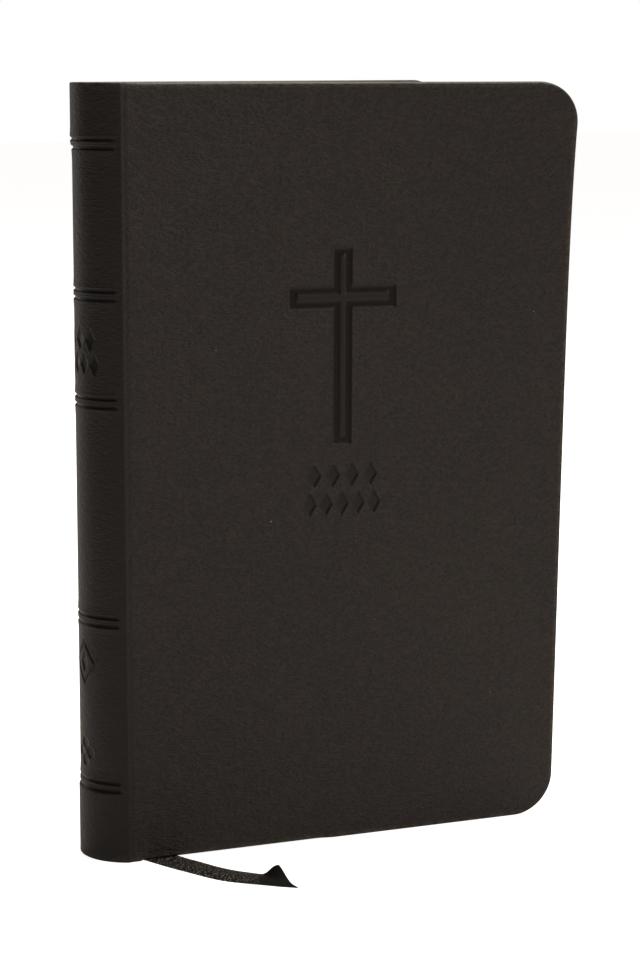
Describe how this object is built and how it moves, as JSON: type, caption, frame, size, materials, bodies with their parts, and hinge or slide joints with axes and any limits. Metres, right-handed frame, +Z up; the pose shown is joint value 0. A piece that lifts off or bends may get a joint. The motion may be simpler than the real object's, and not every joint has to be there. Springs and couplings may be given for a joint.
{
  "type": "bible",
  "caption": "Slim flexible-cover Bible with rounded corners, an outlined cross on the front, a ribbed spine and a ribbon marker; covers and leaves fan open.",
  "frame": {"origin": "under the middle of the standing book, on the surface it stands on", "axes": "+Z up from tail to head, +X from the spine to the fore edge, -Y out of the front cover"},
  "size_m": [0.1377, 0.0847, 0.213],
  "materials": {
    "cover_leather": "satin",
    "board": "matte",
    "endpaper": "matte",
    "leaf_paper": "matte",
    "thread": "matte",
    "mull": "matte",
    "kraft_paper": "matte",
    "band_cord": "satin",
    "ribbon_satin": "satin"
  },
  "bodies": {
    "spine": {"spine_skin": "cover_leather", "spine_inlay": "board", "sewing_thread": "thread", "spine_mull": "mull", "spine_lining": "kraft_paper", "head_band": "band_cord", "tail_band": "band_cord", "ribbon_in_book": "ribbon_satin", "ribbon_tail": "ribbon_satin"},
    "front_cover": {"front_cover_skin": "cover_leather", "front_board": "board", "front_pastedown": "endpaper"},
    "back_cover": {"back_cover_skin": "cover_leather", "back_board": "board", "back_pastedown": "endpaper"},
    "front_flyleaf": {"front_flyleaf": "endpaper"},
    "back_flyleaf": {"back_flyleaf": "endpaper"},
    "section_01": {"section_01": "leaf_paper"},
    "section_02": {"section_02": "leaf_paper"},
    "section_03": {"section_03": "leaf_paper"},
    "section_04": {"section_04": "leaf_paper"},
    "section_05": {"section_05": "leaf_paper"},
    "section_06": {"section_06": "leaf_paper"},
    "section_07": {"section_07": "leaf_paper"},
    "section_08": {"section_08": "leaf_paper"},
    "section_09": {"section_09": "leaf_paper"},
    "section_10": {"section_10": "leaf_paper"},
    "section_11": {"section_11": "leaf_paper"},
    "section_12": {"section_12": "leaf_paper"},
    "section_13": {"section_13": "leaf_paper"},
    "section_14": {"section_14": "leaf_paper"},
    "section_15": {"section_15": "leaf_paper"},
    "section_16": {"section_16": "leaf_paper"},
    "section_17": {"section_17": "leaf_paper"},
    "section_18": {"section_18": "leaf_paper"}
  },
  "joints": [
    {"name": "front_cover_hinge", "type": "hinge", "parent": "spine", "child": "front_cover", "pos_m": [-0.0617, -0.01205, 0.1065], "axis": [0, 0, -1], "range_deg": [-8, 82]},
    {"name": "back_cover_hinge", "type": "hinge", "parent": "spine", "child": "back_cover", "pos_m": [-0.0617, 0.01205, 0.1065], "axis": [0, 0, 1], "range_deg": [-8, 82]},
    {"name": "front_flyleaf_fold", "type": "hinge", "parent": "spine", "child": "front_flyleaf", "pos_m": [-0.062, -0.01027, 0.1065], "axis": [0, 0, -1], "range_deg": [-4.85, 49.25]},
    {"name": "back_flyleaf_fold", "type": "hinge", "parent": "spine", "child": "back_flyleaf", "pos_m": [-0.062, 0.01027, 0.1065], "axis": [0, 0, 1], "range_deg": [-4.85, 49.25]},
    {"name": "section_01_fold", "type": "hinge", "parent": "spine", "child": "section_01", "pos_m": [-0.062, -0.00958, 0.1065], "axis": [0, 0, -1], "range_deg": [-3.41, 34.49]},
    {"name": "section_02_fold", "type": "hinge", "parent": "spine", "child": "section_02", "pos_m": [-0.0626, -0.00847, 0.1065], "axis": [0, 0, -1], "range_deg": [-3.02, 30.44]},
    {"name": "section_03_fold", "type": "hinge", "parent": "spine", "child": "section_03", "pos_m": [-0.06312, -0.00735, 0.1065], "axis": [0, 0, -1], "range_deg": [-2.62, 26.39]},
    {"name": "section_04_fold", "type": "hinge", "parent": "spine", "child": "section_04", "pos_m": [-0.06354, -0.00624, 0.1065], "axis": [0, 0, -1], "range_deg": [-2.22, 22.34]},
    {"name": "section_05_fold", "type": "hinge", "parent": "spine", "child": "section_05", "pos_m": [-0.06389, -0.00512, 0.1065], "axis": [0, 0, -1], "range_deg": [-1.83, 18.28]},
    {"name": "section_06_fold", "type": "hinge", "parent": "spine", "child": "section_06", "pos_m": [-0.06417, -0.00401, 0.1065], "axis": [0, 0, -1], "range_deg": [-1.43, 14.23]},
    {"name": "section_07_fold", "type": "hinge", "parent": "spine", "child": "section_07", "pos_m": [-0.06438, -0.0029, 0.1065], "axis": [0, 0, -1], "range_deg": [-1.04, 10.18]},
    {"name": "section_08_fold", "type": "hinge", "parent": "spine", "child": "section_08", "pos_m": [-0.06452, -0.00178, 0.1065], "axis": [0, 0, -1], "range_deg": [-0.64, 6.13]},
    {"name": "section_09_fold", "type": "hinge", "parent": "spine", "child": "section_09", "pos_m": [-0.06459, -0.00067, 0.1065], "axis": [0, 0, -1], "range_deg": [-0.25, 2.08]},
    {"name": "section_10_fold", "type": "hinge", "parent": "spine", "child": "section_10", "pos_m": [-0.06459, 0.00067, 0.1065], "axis": [0, 0, 1], "range_deg": [-0.25, 2.08]},
    {"name": "section_11_fold", "type": "hinge", "parent": "spine", "child": "section_11", "pos_m": [-0.06452, 0.00178, 0.1065], "axis": [0, 0, 1], "range_deg": [-0.64, 6.13]},
    {"name": "section_12_fold", "type": "hinge", "parent": "spine", "child": "section_12", "pos_m": [-0.06438, 0.0029, 0.1065], "axis": [0, 0, 1], "range_deg": [-1.04, 10.18]},
    {"name": "section_13_fold", "type": "hinge", "parent": "spine", "child": "section_13", "pos_m": [-0.06417, 0.00401, 0.1065], "axis": [0, 0, 1], "range_deg": [-1.43, 14.23]},
    {"name": "section_14_fold", "type": "hinge", "parent": "spine", "child": "section_14", "pos_m": [-0.06389, 0.00512, 0.1065], "axis": [0, 0, 1], "range_deg": [-1.83, 18.28]},
    {"name": "section_15_fold", "type": "hinge", "parent": "spine", "child": "section_15", "pos_m": [-0.06354, 0.00624, 0.1065], "axis": [0, 0, 1], "range_deg": [-2.22, 22.34]},
    {"name": "section_16_fold", "type": "hinge", "parent": "spine", "child": "section_16", "pos_m": [-0.06312, 0.00735, 0.1065], "axis": [0, 0, 1], "range_deg": [-2.62, 26.39]},
    {"name": "section_17_fold", "type": "hinge", "parent": "spine", "child": "section_17", "pos_m": [-0.0626, 0.00847, 0.1065], "axis": [0, 0, 1], "range_deg": [-3.02, 30.44]},
    {"name": "section_18_fold", "type": "hinge", "parent": "spine", "child": "section_18", "pos_m": [-0.062, 0.00958, 0.1065], "axis": [0, 0, 1], "range_deg": [-3.41, 34.49]}
  ],
  "couplings": [
    {"joint": "front_flyleaf_fold", "follows": "front_cover_hinge", "ratio": 0.6},
    {"joint": "back_flyleaf_fold", "follows": "back_cover_hinge", "ratio": 0.6},
    {"joint": "section_01_fold", "follows": "front_cover_hinge", "ratio": 0.42},
    {"joint": "section_02_fold", "follows": "front_cover_hinge", "ratio": 0.37059},
    {"joint": "section_03_fold", "follows": "front_cover_hinge", "ratio": 0.32118},
    {"joint": "section_04_fold", "follows": "front_cover_hinge", "ratio": 0.27176},
    {"joint": "section_05_fold", "follows": "front_cover_hinge", "ratio": 0.22235},
    {"joint": "section_06_fold", "follows": "front_cover_hinge", "ratio": 0.17294},
    {"joint": "section_07_fold", "follows": "front_cover_hinge", "ratio": 0.12353},
    {"joint": "section_08_fold", "follows": "front_cover_hinge", "ratio": 0.074118},
    {"joint": "section_09_fold", "follows": "front_cover_hinge", "ratio": 0.024706},
    {"joint": "section_10_fold", "follows": "back_cover_hinge", "ratio": 0.024706},
    {"joint": "section_11_fold", "follows": "back_cover_hinge", "ratio": 0.074118},
    {"joint": "section_12_fold", "follows": "back_cover_hinge", "ratio": 0.12353},
    {"joint": "section_13_fold", "follows": "back_cover_hinge", "ratio": 0.17294},
    {"joint": "section_14_fold", "follows": "back_cover_hinge", "ratio": 0.22235},
    {"joint": "section_15_fold", "follows": "back_cover_hinge", "ratio": 0.27176},
    {"joint": "section_16_fold", "follows": "back_cover_hinge", "ratio": 0.32118},
    {"joint": "section_17_fold", "follows": "back_cover_hinge", "ratio": 0.37059},
    {"joint": "section_18_fold", "follows": "back_cover_hinge", "ratio": 0.42}
  ]
}
